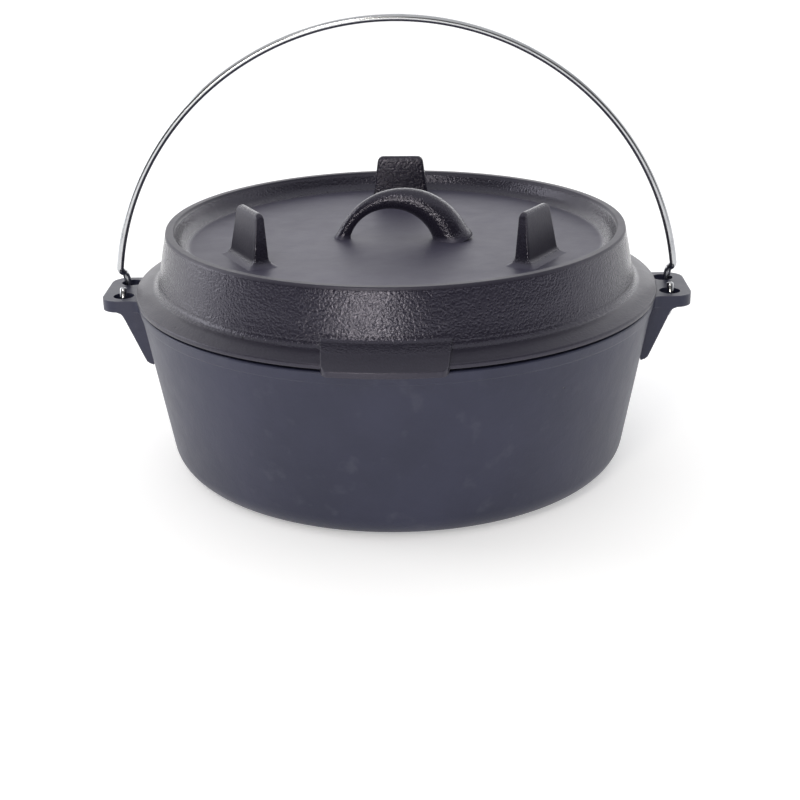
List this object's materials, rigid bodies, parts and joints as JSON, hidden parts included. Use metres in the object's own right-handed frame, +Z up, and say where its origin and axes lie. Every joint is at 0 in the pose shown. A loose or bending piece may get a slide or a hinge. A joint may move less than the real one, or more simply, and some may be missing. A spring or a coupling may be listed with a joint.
{
  "type": "camp dutch oven",
  "caption": "Round cast iron camp dutch oven: straight-walled pot with drilled ears, griddle-top lid with legs, loop handle and lifting tab, and a swinging wire bail.",
  "frame": {"origin": "middle of the pot's flat base, on the surface it stands on", "axes": "+Z up through the lid and the bail, +X towards one ear, -Y towards the lid's lifting tab"},
  "size_m": [0.35, 0.318, 0.2624],
  "materials": {
    "pot_iron": "matte baked-on seasoning over a fine sand-cast skin",
    "lid_iron": "satin baked-on seasoning over a coarser pebbled cast skin",
    "bail_wire": "bright zinc-plated drawn steel wire"
  },
  "bodies": {
    "pot": {"pot": "pot_iron"},
    "lid": {"lid": "lid_iron"},
    "bail": {"bail": "bail_wire"}
  },
  "joints": [
    {"name": "lid_lift", "type": "slide", "parent": "pot", "child": "lid", "axis": [0, 0, 1], "range_m": [0, 0.03]},
    {"name": "bail_swing", "type": "hinge", "parent": "pot", "child": "bail", "pos_m": [0, 0, 0.0985], "axis": [1, 0, 0], "range_deg": [-70, 70]}
  ]
}
